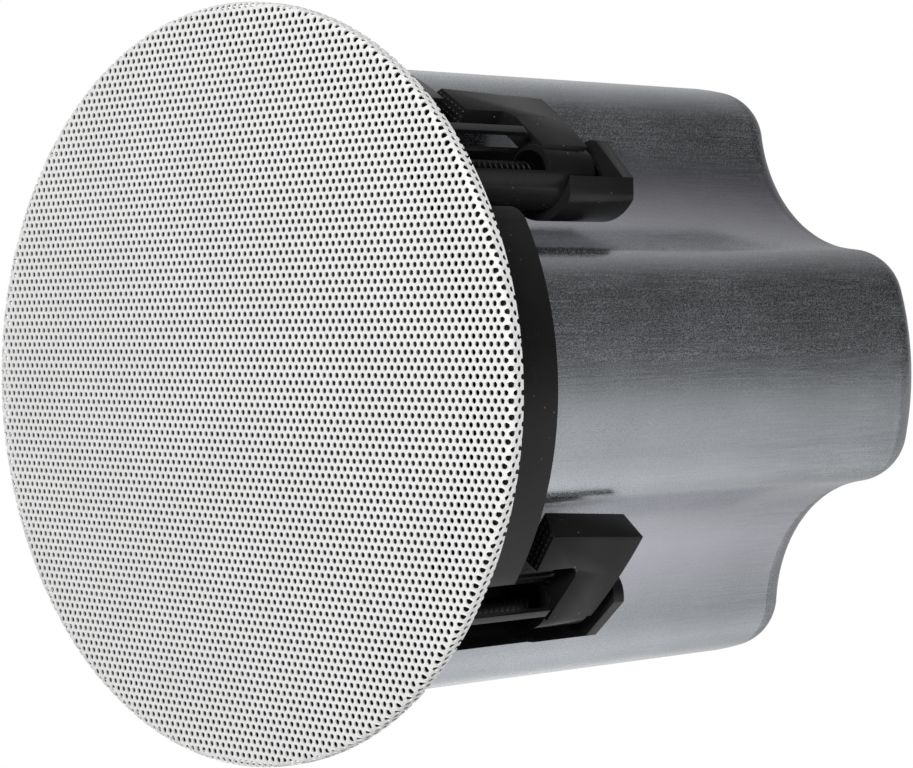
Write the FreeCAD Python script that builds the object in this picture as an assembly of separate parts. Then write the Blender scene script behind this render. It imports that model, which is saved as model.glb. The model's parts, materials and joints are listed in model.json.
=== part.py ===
"""Ceiling speaker: lobed back can, baffle with swing clamps, coaxial driver and perforated grille.

Millimetres. Origin at the centre of the ceiling seat, +Z up into the ceiling void, grille towards -Z.
"""
import math
import os

import FreeCAD
import Part

V = FreeCAD.Vector
AXIS_Z = V(0, 0, 1)
ORIGIN = V(0, 0, 0)

# Fits
RUN_GAP = 0.4
FACE_GAP = 0.2
SCREW_GAP = 0.3
PLASTIC_TO_CAN = 0.6

# Grille
GRILLE_R = 132.7
GRILLE_T = 1.0
GRILLE_RIM_Z = -7.0
GRILLE_CROWN = 3.75
GRILLE_BEND_R = 3.0
GRILLE_EDGE_Z = -1.0
HOLE_PITCH = 23.0
HOLE_ACROSS = 14.0
HOLE_FIELD_R = GRILLE_R - 14.7
CLOTH_T = 0.3
CLOTH_GAP = 0.1
CLOTH_R = GRILLE_R - 20.7

# Baffle
FLANGE_R = GRILLE_R - GRILLE_T - 0.5
FLANGE_T = 4.0
FLOOR_FRONT_Z = 2.0
FLOOR_REAR_Z = 6.0
COLLAR_R = FLANGE_R - 13.2
COLLAR_WALL = 2.4
COLLAR_TOP_Z = 30.8
COLLAR_CORNER_R = 5.0
WELL_R = COLLAR_R - 4.5
WINDOW_FROM = -11.9
WINDOW_TO = 13.4
MAGNET_R = 5.0
MAGNET_RING_R = FLANGE_R - 9.2

# Back can
CAN_LOBE_R = COLLAR_R - COLLAR_WALL - 2.7
CAN_FLUTE_R = 53.5
CAN_FLUTE_CENTRE = COLLAR_R + 19.7
CAN_BLEND_R = 20.4
CAN_REAR_R = 19.0
CAN_WALL = 1.2
CAN_LIP = 8.0
CAN_REAR_Z = 246.7
LOBES = 4

# Clamps, placed in axes with X radial through the screw and Y tangential
CLAMPS = 4
CLAMP_FIRST_DEG = 48.0
CLAMP_R = COLLAR_R - 12.1
SCREW_R = 2.9
SCREW_HEAD_R = 6.0
SCREW_HEAD_T = 3.5
SCREW_TIP_Z = 99.0
KEEPER_T = 1.2
CROSS_REACH = 3.2
CROSS_HALF_W = 0.6
CROSS_DEPTH = 1.8
NUT_BARREL_R = 5.0
NUT_FLANGE_R = 7.2
NUT_FLANGE_T = 1.1

# Wing, in axes turned about the screw: across its thickness, and along it
WING_LEAN_DEG = -13.0
WING_INNER = 2.8
WING_OUTER = 10.6
WING_TIP = -36.9
WING_TIP_INNER = -41.5
WING_TIP_DRAFT = 3.3
FINGER_INSIDE = -22.6
NOTCH_END = -18.0
NOTCH_R = 4.5
NOTCH_Z = 66.5
PAD_Z = 45.0
TIP_REAR_Z = 93.0
REAR_MID = -15.0
REAR_MID_Z = 90.6
HUB_R = 9.2
HUB_FRONT_Z = 63.0
HUB_REAR_Z = 86.0

# Clamp tower, measured from the screw axis
TROUGH_R = 11.9
TROUGH_WALL = 1.9
TROUGH_TOP_Z = 67.5
TROUGH_BACK = -2.2
TROUGH_FACE_V = 9.9
CAGE_R = 17.3
CAGE_BACK_V = -3.0
CAGE_FACE_V = 13.3
PLATE_Z = 95.0
TOWER_TOP_Z = 100.5
PLATE_CHORD = 11.1
PLATE_CHORD_DEG = 12.7
RAIL_V = -12.5
RAIL_W = 2.5
RAIL_TOP = -0.8
RIB_IN = 9.9
RIB_OUT = 11.6
RIB_V0 = -10.0
RIB_V1 = -6.7
RIB_TOP_Z = 58.0
TOWER_REACH = 60.0

# Woofer
BASKET_R = WELL_R - 25.5
BASKET_T = 1.2
BASKET_NECK_R = BASKET_R - 15.0
BASKET_EYE_R = 20.0
BASKET_WINDOW_HALF_DEG = 32.0
BASKET_WINDOW_Z = 6.0
BASKET_SHELF_RIM = 3.0
BAFFLE_HOLE_R = BASKET_NECK_R + 2.0
GASKET_T = 0.8
WOOFER_SCREW_RING_R = BASKET_R - 3.4
WOOFER_SCREWS = 4
SHELF_Z = 31.0
SHELF_IN_R = 36.0
SHELF_OUT_R = 45.0
PLATE_FRONT_Z = 42.0
PLATE_T = 6.0
MAGNET_T = 16.0
YOKE_T = 6.0
PLATE_OUT_R = 44.0
RING_MAGNET_R = 45.5
RING_MAGNET_IN_R = 24.0
POLE_R = 12.0
COIL_GAP = 0.5
FORMER_T = 0.4
COIL_T = 0.8
FORMER_FRONT_Z = 20.0
FORMER_REAR_Z = 46.0
CONE_R = BASKET_NECK_R - 9.5
CONE_T = 0.9
CONE_EDGE_Z = 3.2
CONE_NECK_Z = 22.0
SURROUND_T = 0.6
SURROUND_ROLL_Z = -5.0
SURROUND_LIP_R = BASKET_R - 8.0
SURROUND_GLUE = 3.5
SURROUND_STEPS = 9
SPIDER_T = 0.6

# Tweeter
POST_R = 4.5
TWEETER_R = 16.0
TWEETER_WALL = 1.5
TWEETER_REAR_Z = 7.4
TWEETER_FACE_Z = -3.2
TWEETER_FACE_R = 17.5
DOME_R = 12.0
DOME_RISE = 2.4
DOME_T = 0.4

# Fixings
CAN_SCREW_R = 2.0
CAN_SCREW_RING_R = CAN_LOBE_R - 4.3
CAN_SCREW_GRIP = 5.0
SMALL_HEAD_R = 3.6
SMALL_HEAD_T = 2.2

# Tap selector
KNOB_R = 7.0
TAP_R = BASKET_R + KNOB_R + 2.0
KNOB_FRONT_Z = -5.0
TAP_BODY = 12.0

# Electrics
BOARD_X = 66.0
BOARD_Y = 56.0
BOARD_T = 1.6
COIL_OUT_R = 13.0
COIL_IN_R = 6.0
COIL_H = 10.0
CAP_R = 6.5
CAP_H = 22.0
BRACKET_T = 1.5
CORE_X = 27.0
CORE_Y0 = -58.0
CORE_Y1 = -22.0
CORE_LEG = 9.0
CORE_H = 38.0
CORE_YOKE_H = 9.0
CUP_Y = 40.0
CUP_R = 20.5
CUP_FLANGE_R = 24.0
CUP_WALL = 2.0
CUP_DEPTH = 14.7
EYE_X = 45.0
EYE_HOLE_R = 4.0
PAD_X0 = -92.0
PAD_X1 = -38.0
PAD_HALF_Y = 26.0
PAD_T = 12.0

# Derived
CAN_FRONT_Z = FLOOR_REAR_Z + 1.0
CAN_INNER_REAR_Z = CAN_REAR_Z - CAN_WALL
FLANGE_FRONT_Z = -FLANGE_T
PLATE_REAR_Z = PLATE_FRONT_Z + PLATE_T
MAGNET_REAR_Z = PLATE_REAR_Z + MAGNET_T
YOKE_REAR_Z = MAGNET_REAR_Z + YOKE_T
FORMER_IN_R = POLE_R + COIL_GAP
FORMER_OUT_R = FORMER_IN_R + FORMER_T
COIL_R = FORMER_OUT_R + COIL_T
CLAMP_ANGLES = [CLAMP_FIRST_DEG + 360.0 / CLAMPS * k for k in range(CLAMPS)]
LOBE_ANGLES = [360.0 / LOBES * k for k in range(LOBES)]


def cyl(r, z0, z1, x=0.0, y=0.0):
    return Part.makeCylinder(r, z1 - z0, V(x, y, z0))


def ring(r_out, r_in, z0, z1, x=0.0, y=0.0):
    return cyl(r_out, z0, z1, x, y).cut(cyl(r_in, z0 - 1, z1 + 1, x, y))


def box(x0, x1, y0, y1, z0, z1):
    return Part.makeBox(x1 - x0, y1 - y0, z1 - z0, V(x0, y0, z0))


def polar(r, deg):
    a = math.radians(deg)
    return r * math.cos(a), r * math.sin(a)


def turned(shape, deg):
    out = shape.copy()
    out.rotate(ORIGIN, AXIS_Z, deg)
    return out


def line(a, b):
    return Part.LineSegment(V(*a), V(*b)).toShape()


def arc(a, m, b):
    return Part.Arc(V(*a), V(*m), V(*b)).toShape()


def smooth(points):
    curve = Part.BSplineCurve()
    curve.interpolate([V(*p) for p in points])
    return curve.toShape()


def arc_points(a, m, b, count):
    curve = Part.Arc(V(a[0], 0, a[1]), V(m[0], 0, m[1]), V(b[0], 0, b[1]))
    return [(p.x, p.z) for p in curve.discretize(Number=count)]


def revolve(edges):
    face = Part.Face(Part.Wire(edges))
    return face.revolve(ORIGIN, AXIS_Z, 360)


def revolve_points(points):
    pts = [(r, 0.0, z) for r, z in points]
    edges = [line(pts[i], pts[(i + 1) % len(pts)]) for i in range(len(pts))]
    return revolve(edges)


def fuse_all(shapes):
    out = shapes[0].multiFuse(shapes[1:])
    return out.removeSplitter()


# Lobed outline of the can, inset towards the axis (negative grows it)
def lobed_wire(inset, z):
    lobe_r = CAN_LOBE_R - inset
    flute_r = CAN_FLUTE_R + inset
    blend_r = CAN_BLEND_R - inset
    reach = CAN_LOBE_R - CAN_BLEND_R
    span = CAN_FLUTE_R + CAN_BLEND_R
    cosine = (reach**2 + CAN_FLUTE_CENTRE**2 - span**2) / (2 * reach * CAN_FLUTE_CENTRE)
    gamma = math.degrees(math.acos(cosine))
    edges = []
    for k in range(LOBES):
        flute_deg = 45.0 + 360.0 / LOBES * k
        fx, fy = polar(CAN_FLUTE_CENTRE, flute_deg)
        tangents = []
        for side in (-1, 1):
            cx, cy = polar(reach, flute_deg + side * gamma)
            dist = math.hypot(fx - cx, fy - cy)
            ex, ey = (fx - cx) / dist, (fy - cy) / dist
            far = (*polar(lobe_r, flute_deg + side * gamma), z)
            near = (cx + blend_r * ex, cy + blend_r * ey, z)
            mx, my = far[0] + near[0] - 2 * cx, far[1] + near[1] - 2 * cy
            size = math.hypot(mx, my)
            mid = (cx + blend_r * mx / size, cy + blend_r * my / size, z)
            tangents.append((far, mid, near))
        low, high = tangents
        bottom = (*polar(CAN_FLUTE_CENTRE - flute_r, flute_deg), z)
        start = (*polar(lobe_r, flute_deg - 90.0 + gamma), z)
        middle = (*polar(lobe_r, flute_deg - 45.0), z)
        edges.append(arc(start, middle, low[0]))
        edges.append(arc(low[0], low[1], low[2]))
        edges.append(arc(low[2], bottom, high[2]))
        edges.append(arc(high[2], high[1], high[0]))
    return Part.Wire(Part.__sortEdges__(edges))


def lobed_prism(inset, z0, z1):
    face = Part.Face(lobed_wire(inset, z0))
    return face.extrude(V(0, 0, z1 - z0))


def rounded_rear(prism, z, r):
    flat = [e for e in prism.Edges if e.BoundBox.ZLength < 0.01]
    return prism.makeFillet(r, [e for e in flat if abs(e.BoundBox.ZMin - z) < 0.01])


def can_screw_shaft(r, z0, z1):
    return [cyl(r, z0, z1, *polar(CAN_SCREW_RING_R, a)) for a in LOBE_ANGLES]


def back_can():
    skin = rounded_rear(lobed_prism(0.0, CAN_FRONT_Z, CAN_REAR_Z), CAN_REAR_Z, CAN_REAR_R)
    hollow = lobed_prism(CAN_WALL, CAN_FRONT_Z + CAN_WALL, CAN_INNER_REAR_Z)
    hollow = rounded_rear(hollow, CAN_INNER_REAR_Z, CAN_REAR_R - CAN_WALL)
    mouth = lobed_prism(CAN_LIP, CAN_FRONT_Z - 1, CAN_FRONT_Z + 2 * CAN_WALL)
    cup_hole = cyl(CUP_R + SCREW_GAP, CAN_INNER_REAR_Z - 1, CAN_REAR_Z + 1, 0, CUP_Y)
    holes = can_screw_shaft(CAN_SCREW_R + SCREW_GAP, CAN_FRONT_Z - 1, CAN_FRONT_Z + 2 * CAN_WALL)
    return skin.cut([hollow, mouth, cup_hole] + holes)


def can_gasket():
    body = lobed_prism(0.5, FLOOR_REAR_Z, CAN_FRONT_Z)
    mouth = lobed_prism(CAN_LIP, FLOOR_REAR_Z - 1, CAN_FRONT_Z + 1)
    holes = can_screw_shaft(CAN_SCREW_R + SCREW_GAP, FLOOR_REAR_Z - 1, CAN_FRONT_Z + 1)
    return body.cut([mouth] + holes)


def small_screw(x, y, seat_z, tip_z):
    head = cyl(SMALL_HEAD_R, seat_z - SMALL_HEAD_T, seat_z, x, y)
    return head.fuse(cyl(CAN_SCREW_R, seat_z, tip_z, x, y)).removeSplitter()


def can_screws():
    tip = CAN_FRONT_Z + CAN_SCREW_GRIP
    return [small_screw(*polar(CAN_SCREW_RING_R, a), FLOOR_FRONT_Z, tip) for a in LOBE_ANGLES]


# Clamp tower about the screw axis: trough, cage, end plate, inner rail and outer rib
def tower():
    far, z0, z1 = TOWER_REACH, 0.0, 2 * TOWER_TOP_Z
    trough = ring(TROUGH_R + TROUGH_WALL, TROUGH_R, FLOOR_REAR_Z, TROUGH_TOP_Z)
    trough = trough.cut([
        box(TROUGH_BACK, far, -far, 0, z0, z1),
        box(0, far, -1, TROUGH_FACE_V, z0, z1)])
    cage = ring(CAGE_R, TROUGH_R, TROUGH_TOP_Z, TOWER_TOP_Z)
    cage = cage.cut([
        box(-far, far, -far, CAGE_BACK_V, z0, z1),
        box(0, far, CAGE_BACK_V - 1, CAGE_FACE_V, z0, z1)])
    beyond = turned(box(PLATE_CHORD, far, -far, far, z0, z1), PLATE_CHORD_DEG)
    plate = cyl(CAGE_R, PLATE_Z, TOWER_TOP_Z).cut(beyond)
    rail = box(-CAGE_R, RAIL_TOP, RAIL_V, RAIL_V + RAIL_W, FLOOR_REAR_Z, TROUGH_TOP_Z)
    rib = box(RIB_IN, RIB_OUT, RIB_V0, RIB_V1, FLOOR_REAR_Z, RIB_TOP_Z)
    whole = fuse_all([trough, cage, plate, rail])
    bored = whole.cut(cyl(SCREW_R + SCREW_GAP, PLATE_Z - 1, TOWER_TOP_Z + 1))
    return [on_clamp(bored), on_clamp(rib)]


def on_clamp(shape):
    out = shape.copy()
    out.translate(V(CLAMP_R, 0, 0))
    return out


def wedge(deg0, deg1, r, z0, z1):
    steps = 4
    rim = [(*polar(r, deg0 + (deg1 - deg0) * k / steps), z0) for k in range(steps + 1)]
    pts = [V(0, 0, z0)] + [V(*p) for p in rim] + [V(0, 0, z0)]
    return Part.Face(Part.makePolygon(pts)).extrude(V(0, 0, z1 - z0))


def collar():
    whole = ring(COLLAR_R, COLLAR_R - COLLAR_WALL, FLOOR_REAR_Z, COLLAR_TOP_Z)
    z0, z1 = FLOOR_REAR_Z, COLLAR_TOP_Z + 1
    cuts = [wedge(a + WINDOW_FROM, a + WINDOW_TO, 2 * COLLAR_R, z0, z1) for a in CLAMP_ANGLES]
    pieces = []
    for piece in whole.cut(cuts).Solids:
        corners = []
        for edge in piece.Edges:
            mid = edge.CenterOfMass
            deg = math.degrees(math.atan2(mid.y, mid.x)) % 90.0
            at_top = abs(edge.BoundBox.ZMin - COLLAR_TOP_Z) < 0.01
            at_end = abs(deg - CLAMP_FIRST_DEG - WINDOW_TO) < 0.5
            if at_top and at_end and edge.Length < 2 * COLLAR_WALL:
                corners.append(edge)
        pieces.append(piece.makeFillet(COLLAR_CORNER_R, corners))
    return pieces


def baffle():
    shell = revolve_points([
        (WELL_R, FLANGE_FRONT_Z), (FLANGE_R, FLANGE_FRONT_Z), (FLANGE_R, 0), (COLLAR_R, 0),
        (COLLAR_R, FLOOR_REAR_Z), (BAFFLE_HOLE_R, FLOOR_REAR_Z), (BAFFLE_HOLE_R, FLOOR_FRONT_Z),
        (WELL_R, FLOOR_FRONT_Z)])
    towers = [turned(piece, a) for a in CLAMP_ANGLES for piece in tower()]
    keep_out = lobed_prism(-PLASTIC_TO_CAN, FLOOR_REAR_Z, TOWER_TOP_Z + 1)
    towers = [t.cut(keep_out) for t in towers]
    body = fuse_all([shell] + collar() + towers)
    z0, z1 = FLOOR_FRONT_Z - 1, FLOOR_REAR_Z + 1
    holes = [cyl(SCREW_R + SCREW_GAP, z0, z1, *polar(CLAMP_R, a)) for a in CLAMP_ANGLES]
    holes += can_screw_shaft(CAN_SCREW_R + SCREW_GAP, z0, z1)
    holes += woofer_screw_shaft(CAN_SCREW_R + SCREW_GAP, z0, z1)
    holes.append(cyl(SCREW_R + SCREW_GAP, z0, z1, 0, TAP_R))
    return body.cut(holes)


# Wing about the screw axis: outline along it, extruded across, tip cut on a slant, then hub and bore
def wing():
    x, nr = WING_INNER, NOTCH_R
    d = math.sqrt(0.5)
    tip, end = WING_TIP_INNER - 1, WING_TIP + WING_TIP_DRAFT
    start, notch = (x, 0, HUB_FRONT_Z), (x, NOTCH_END, NOTCH_Z)
    inside = (x, FINGER_INSIDE, NOTCH_Z - nr)
    notch_mid = (x, FINGER_INSIDE + nr * (1 - d), NOTCH_Z - nr * (1 - d))
    pad_in, pad_tip = (x, FINGER_INSIDE, PAD_Z), (x, tip, PAD_Z)
    rear_tip, rear_end = (x, tip, TIP_REAR_Z), (x, 0, HUB_REAR_Z)
    rear_bend = (x, end, TIP_REAR_Z)
    edges = [
        line(start, notch), arc(notch, notch_mid, inside), line(inside, pad_in), line(pad_in, pad_tip),
        line(pad_tip, rear_tip), line(rear_tip, rear_bend),
        smooth([rear_bend, (x, REAR_MID, REAR_MID_Z), rear_end]), line(rear_end, start)]
    flag = Part.Face(Part.Wire(edges)).extrude(V(WING_OUTER - WING_INNER, 0, 0)).cut(wing_tip_waste())
    whole = fuse_all([cyl(HUB_R, HUB_FRONT_Z, HUB_REAR_Z), flag])
    bore = cyl(NUT_BARREL_R + RUN_GAP, HUB_FRONT_Z - 1, HUB_REAR_Z + 1)
    recess = cyl(NUT_FLANGE_R + RUN_GAP, HUB_REAR_Z, TIP_REAR_Z)
    return on_clamp(turned(whole.cut([bore, recess]), WING_LEAN_DEG))


def wing_tip_waste():
    far = 2 * WING_TIP_INNER
    slope = (WING_TIP - WING_TIP_INNER) / (WING_OUTER - WING_INNER)
    z0, rise = PAD_Z - 5, TIP_REAR_Z - PAD_Z
    lean = WING_TIP_DRAFT / rise
    x0, x1 = WING_INNER - 1, WING_OUTER + 1
    y0, y1 = WING_TIP_INNER - slope - 5 * lean, WING_TIP + slope - 5 * lean
    pts = [V(x0, far, z0), V(x1, far, z0), V(x1, y1, z0), V(x0, y0, z0), V(x0, far, z0)]
    return Part.Face(Part.makePolygon(pts)).extrude(V(0, lean * (rise + 10), rise + 10))


def clamp_nut():
    front = HUB_FRONT_Z - RUN_GAP
    rear = HUB_REAR_Z + RUN_GAP
    barrel = cyl(NUT_BARREL_R, front, rear)
    low = cyl(NUT_FLANGE_R, front - NUT_FLANGE_T, front)
    high = cyl(NUT_FLANGE_R, rear, rear + NUT_FLANGE_T)
    whole = fuse_all([barrel, low, high])
    return on_clamp(whole.cut(cyl(SCREW_R + RUN_GAP, 0, TOWER_TOP_Z)))


def clamp_screw():
    seat = FLOOR_FRONT_Z - FACE_GAP
    top = seat - SCREW_HEAD_T
    keeper = FLOOR_REAR_Z + FACE_GAP
    head = cyl(SCREW_HEAD_R, top, seat)
    shank = cyl(SCREW_R, seat, SCREW_TIP_Z)
    clip = cyl(NUT_BARREL_R, keeper, keeper + KEEPER_T)
    a, b = CROSS_REACH, CROSS_HALF_W
    slots = [box(-x, x, -y, y, top - 1, top + CROSS_DEPTH) for x, y in ((a, b), (b, a))]
    return on_clamp(fuse_all([head, shank, clip]).cut(slots))


# Grille: crowned sheet with a turned-back edge and staggered openings
def crown_radius():
    return (GRILLE_R**2 + GRILLE_CROWN**2) / (2 * GRILLE_CROWN)


def crown_point(r, depth):
    centre = GRILLE_RIM_Z - GRILLE_CROWN + crown_radius()
    return r, 0, centre - math.sqrt((crown_radius() - depth)**2 - r**2)


def crown_arc(r0, r1, depth):
    return arc(crown_point(r0, depth), crown_point((r0 + r1) / 2, depth), crown_point(r1, depth))


def crowned_sheet(r_end, depth, thick):
    far = depth + thick
    return revolve([
        crown_arc(0, r_end, depth), line(crown_point(r_end, depth), crown_point(r_end, far)),
        crown_arc(r_end, 0, far), line(crown_point(0, far), crown_point(0, depth))])


def grille():
    return crowned_sheet(GRILLE_R - GRILLE_BEND_R, 0, GRILLE_T).cut(grille_holes())


# Turned-back edge of the grille: bend and skirt
def grille_edge():
    t, br = GRILLE_T, GRILLE_BEND_R
    d = math.sqrt(0.5)
    bend_r = GRILLE_R - br
    front, back = crown_point(bend_r, 0), crown_point(bend_r, t)
    z_turn = front[2] + br
    ir = br - t
    outer = arc(front, (bend_r + br * d, 0, z_turn - br * d), (GRILLE_R, 0, z_turn))
    inner = arc((GRILLE_R - t, 0, z_turn), (bend_r + ir * d, 0, z_turn - ir * d), back)
    edge_out = (GRILLE_R, 0, GRILLE_EDGE_Z)
    edge_in = (GRILLE_R - t, 0, GRILLE_EDGE_Z)
    return revolve([
        outer, line((GRILLE_R, 0, z_turn), edge_out), line(edge_out, edge_in),
        line(edge_in, (GRILLE_R - t, 0, z_turn)), inner, line(back, front)])


def grille_holes():
    row = HOLE_PITCH * math.sqrt(3) / 2
    count = int(HOLE_FIELD_R / row)
    holes = []
    for j in range(-count, count + 1):
        for i in range(-2 * count, 2 * count + 1):
            x = HOLE_PITCH * (i + 0.5 * (j % 2))
            y = row * j
            if math.hypot(x, y) <= HOLE_FIELD_R:
                holes.append(hex_prism(x, y, HOLE_ACROSS / 2))
    return holes


def hex_prism(x, y, r):
    corners = [polar(r, 60.0 * k + 30.0) for k in range(7)]
    pts = [V(x + a, y + b, -20) for a, b in corners]
    return Part.Face(Part.makePolygon(pts)).extrude(V(0, 0, 20))


def grille_cloth():
    return crowned_sheet(CLOTH_R, GRILLE_T + CLOTH_GAP, CLOTH_T)


def grille_magnets():
    front = crown_point(MAGNET_RING_R + MAGNET_R, GRILLE_T)[2] + RUN_GAP
    return [cyl(MAGNET_R, front, FLANGE_FRONT_Z, *polar(MAGNET_RING_R, a)) for a in LOBE_ANGLES]


def woofer_screw_angles():
    return [25.0 + 360.0 / WOOFER_SCREWS * k for k in range(WOOFER_SCREWS)]


def woofer_screw_shaft(r, z0, z1):
    return [cyl(r, z0, z1, *polar(WOOFER_SCREW_RING_R, a)) for a in woofer_screw_angles()]


def woofer_basket():
    t = BASKET_T
    back = FLOOR_FRONT_Z - GASKET_T
    face = back - t
    eye = BASKET_EYE_R
    profile = [
        (BASKET_R, face), (BASKET_R, back), (BASKET_NECK_R, back), (SHELF_OUT_R, SHELF_Z + t),
        (SHELF_OUT_R - 2, PLATE_FRONT_Z), (eye, PLATE_FRONT_Z), (eye, PLATE_FRONT_Z - t),
        (SHELF_OUT_R - 2 - t, PLATE_FRONT_Z - t), (SHELF_OUT_R - 1 - t, SHELF_Z + t),
        (SHELF_IN_R, SHELF_Z + t), (SHELF_IN_R, SHELF_Z), (SHELF_OUT_R - t, SHELF_Z),
        (BASKET_NECK_R - t, face)]
    body = revolve_points(profile)
    half = BASKET_WINDOW_HALF_DEG
    z0, z1 = BASKET_WINDOW_Z, SHELF_Z - BASKET_SHELF_RIM
    hub = cyl(SHELF_IN_R, 0, SHELF_Z)
    windows = [wedge(a - half, a + half, BASKET_R + 2, z0, z1).cut(hub) for a in LOBE_ANGLES]
    return body.cut(windows + woofer_screw_shaft(CAN_SCREW_R + SCREW_GAP, face - 1, back + 1))


def woofer_gasket():
    body = ring(BASKET_R, BAFFLE_HOLE_R + 1, FLOOR_FRONT_Z - GASKET_T, FLOOR_FRONT_Z)
    return body.cut(woofer_screw_shaft(CAN_SCREW_R + SCREW_GAP, 0, FLOOR_REAR_Z))


def woofer_screws():
    seat = FLOOR_FRONT_Z - GASKET_T - BASKET_T
    tip = FLOOR_REAR_Z - FACE_GAP
    return [small_screw(*polar(WOOFER_SCREW_RING_R, a), seat, tip) for a in woofer_screw_angles()]


def surround():
    t = SURROUND_T
    seat = FLOOR_FRONT_Z - GASKET_T - BASKET_T
    out_r, in_r = BASKET_NECK_R + 2, CONE_R
    mid_r = (out_r + in_r) / 2
    lip_in = CONE_R - SURROUND_GLUE
    z0, z1 = seat - t, CONE_EDGE_Z - t
    front = arc_points((out_r + t, z0), (mid_r, SURROUND_ROLL_Z), (in_r - t, z1), SURROUND_STEPS)
    crest = (mid_r, SURROUND_ROLL_Z + t)
    back = arc_points((in_r, CONE_EDGE_Z), crest, (out_r, seat), SURROUND_STEPS)
    outer = [(SURROUND_LIP_R, seat), (SURROUND_LIP_R, z0)]
    inner = [(lip_in, z1), (lip_in, CONE_EDGE_Z)]
    return revolve_points(outer + front + inner + back)


def cone():
    t = CONE_T
    neck_r = FORMER_OUT_R + 0.1
    flat_r = CONE_R - SURROUND_GLUE
    return revolve_points([
        (CONE_R, CONE_EDGE_Z), (flat_r, CONE_EDGE_Z), (neck_r, CONE_NECK_Z), (neck_r, CONE_NECK_Z + 1.6),
        (flat_r, CONE_EDGE_Z + t), (CONE_R, CONE_EDGE_Z + t)])


def dust_ring():
    return ring(FORMER_OUT_R, POST_R + 1, FORMER_FRONT_Z - 0.5, FORMER_FRONT_Z)


def voice_coil():
    former = ring(FORMER_OUT_R, FORMER_IN_R, FORMER_FRONT_Z, FORMER_REAR_Z)
    winding = ring(COIL_R, FORMER_OUT_R, FORMER_REAR_Z - 10, FORMER_REAR_Z)
    return former.fuse(winding).removeSplitter()


def spider():
    t = SPIDER_T
    lip = SHELF_IN_R + 1
    edge = SHELF_OUT_R - 2.5
    inner = FORMER_OUT_R + 0.1
    waves = 4
    seat = SHELF_Z - t
    drop = 4.2
    front = [(edge, seat), (lip, seat)]
    for k in range(1, 2 * waves):
        r = lip + (inner + 2 - lip) * k / (2 * waves)
        front.append((r, seat - drop * k / (2 * waves) - (0.5 if k % 2 else -0.4)))
    front += [(inner + 2, seat - drop), (inner, seat - drop)]
    back = [(r, z + t) for r, z in reversed(front)]
    return revolve_points(front + back)


def top_plate():
    return ring(PLATE_OUT_R, COIL_R + COIL_GAP, PLATE_FRONT_Z, PLATE_REAR_Z)


def woofer_magnet():
    return ring(RING_MAGNET_R, RING_MAGNET_IN_R, PLATE_REAR_Z, MAGNET_REAR_Z)


def yoke():
    disc = cyl(PLATE_OUT_R - 1, MAGNET_REAR_Z, YOKE_REAR_Z)
    return disc.fuse(cyl(POLE_R, PLATE_FRONT_Z, MAGNET_REAR_Z)).removeSplitter()


def tweeter_post():
    return cyl(POST_R, TWEETER_REAR_Z, PLATE_FRONT_Z)


def tweeter_housing():
    w = TWEETER_WALL
    cup = cyl(TWEETER_R, TWEETER_FACE_Z, TWEETER_REAR_Z).cut(
        cyl(TWEETER_R - w, TWEETER_FACE_Z - 1, TWEETER_REAR_Z - w))
    face = ring(TWEETER_FACE_R, DOME_R + RUN_GAP, TWEETER_FACE_Z - w, TWEETER_FACE_Z)
    return cup.fuse(face).removeSplitter()


def tweeter_dome():
    t = DOME_T
    base = TWEETER_FACE_Z
    rim = TWEETER_R - TWEETER_WALL - RUN_GAP
    radius = (DOME_R**2 + DOME_RISE**2) / (2 * DOME_RISE)
    centre = base - DOME_RISE + radius
    foot = math.sqrt((radius - t)**2 - (centre - base - t)**2)

    def on(r, depth):
        return r, 0, centre - math.sqrt((radius - depth)**2 - r**2)

    return revolve([
        line((rim, 0, base), (DOME_R, 0, base)), arc(on(DOME_R, 0), on(DOME_R / 2, 0), on(0, 0)),
        line(on(0, 0), on(0, t)), arc(on(0, t), on(foot / 2, t), on(foot, t)),
        line(on(foot, t), (rim, 0, base + t)), line((rim, 0, base + t), (rim, 0, base))])


def tweeter_magnet():
    return cyl(TWEETER_R - TWEETER_WALL - RUN_GAP - 1, 0, TWEETER_REAR_Z - TWEETER_WALL)


def crossover_board():
    x, y = BOARD_X / 2, BOARD_Y / 2
    return box(-x, x, -y, y, YOKE_REAR_Z, YOKE_REAR_Z + BOARD_T)


def inductor():
    z = YOKE_REAR_Z + BOARD_T
    return ring(COIL_OUT_R, COIL_IN_R, z, z + COIL_H, -16, 0)


def capacitors():
    z = YOKE_REAR_Z + BOARD_T
    return [cyl(CAP_R, z, z + CAP_H, 16, y) for y in (-12, 12)]


def transformer_bracket():
    z1 = CAN_INNER_REAR_Z
    return box(-30, 30, CORE_Y0 - 4, CORE_Y1 + 4, z1 - BRACKET_T, z1)


def transformer_core():
    z1 = CAN_INNER_REAR_Z - BRACKET_T
    z0 = z1 - CORE_H
    body = box(-CORE_X, CORE_X, CORE_Y0, CORE_Y1, z0, z1)
    w0, w1 = CORE_LEG, 2 * CORE_LEG
    a, b = z0 + CORE_YOKE_H, z1 - CORE_YOKE_H
    return body.cut([box(x0, x1, CORE_Y0 - 1, CORE_Y1 + 1, a, b) for x0, x1 in ((w0, w1), (-w1, -w0))])


def transformer_bobbin():
    g = SCREW_GAP
    z1 = CAN_INNER_REAR_Z - BRACKET_T - CORE_YOKE_H - g
    z0 = CAN_INNER_REAR_Z - BRACKET_T - CORE_H + CORE_YOKE_H + g
    out_x = 2 * CORE_LEG - g
    body = box(-out_x, out_x, CORE_Y0 - 8, CORE_Y1 + 8, z0, z1)
    return body.cut(box(-CORE_LEG - g, CORE_LEG + g, CORE_Y0 - g, CORE_Y1 + g, z0 - 1, z1 + 1))


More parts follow.
